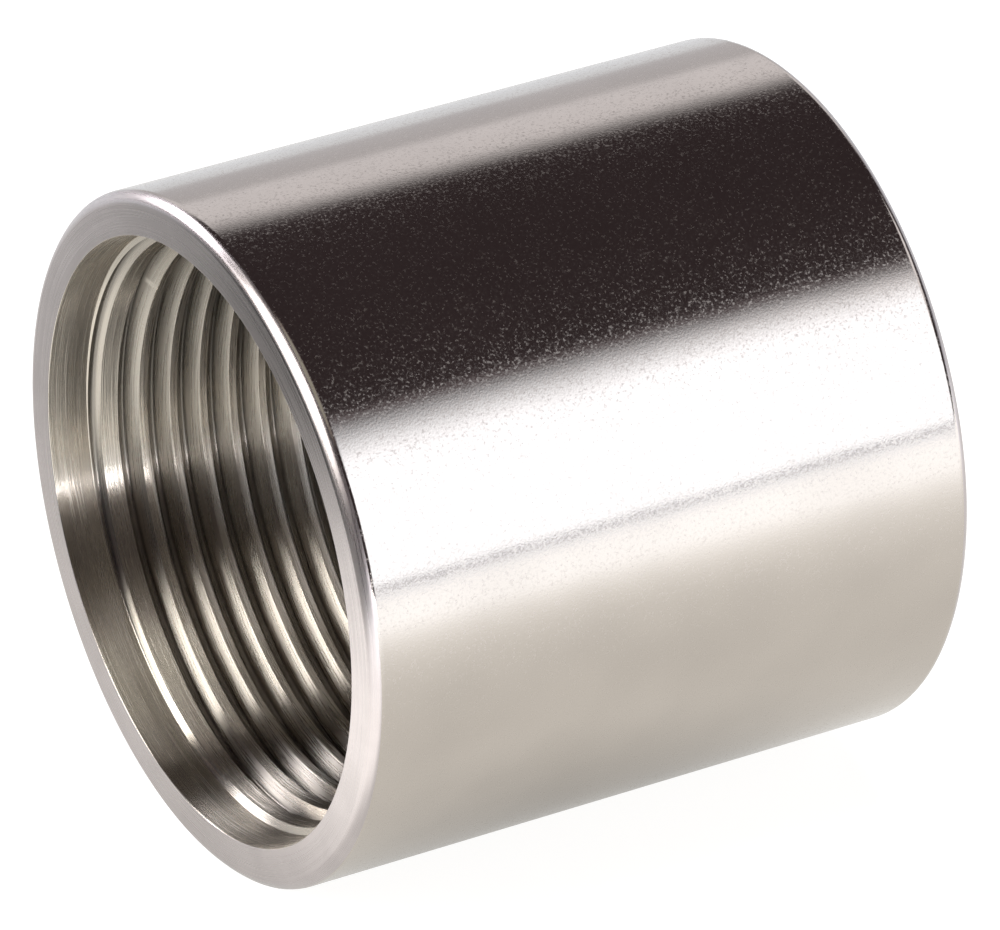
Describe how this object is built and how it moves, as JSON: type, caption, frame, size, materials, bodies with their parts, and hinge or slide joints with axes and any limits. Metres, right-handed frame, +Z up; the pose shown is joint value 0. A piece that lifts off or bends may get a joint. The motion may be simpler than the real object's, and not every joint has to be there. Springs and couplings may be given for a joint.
{
  "type": "pipe coupling",
  "caption": "Plain stainless steel full coupling: a short round sleeve with a parallel pipe thread right through, recessed mouths and flat end faces, for joining two threaded pipes.",
  "frame": {"origin": "middle of the bore, half-way between the two end faces", "axes": "+X along the bore; +Z up, with the coupling lying on its side"},
  "size_m": [0.046, 0.0484, 0.0484],
  "materials": {
    "stainless_steel": "ground stainless steel with a fine satin grain; turned end faces and a bright cut thread"
  },
  "bodies": {
    "root": {"coupling_body": "stainless_steel"}
  },
  "joints": []
}
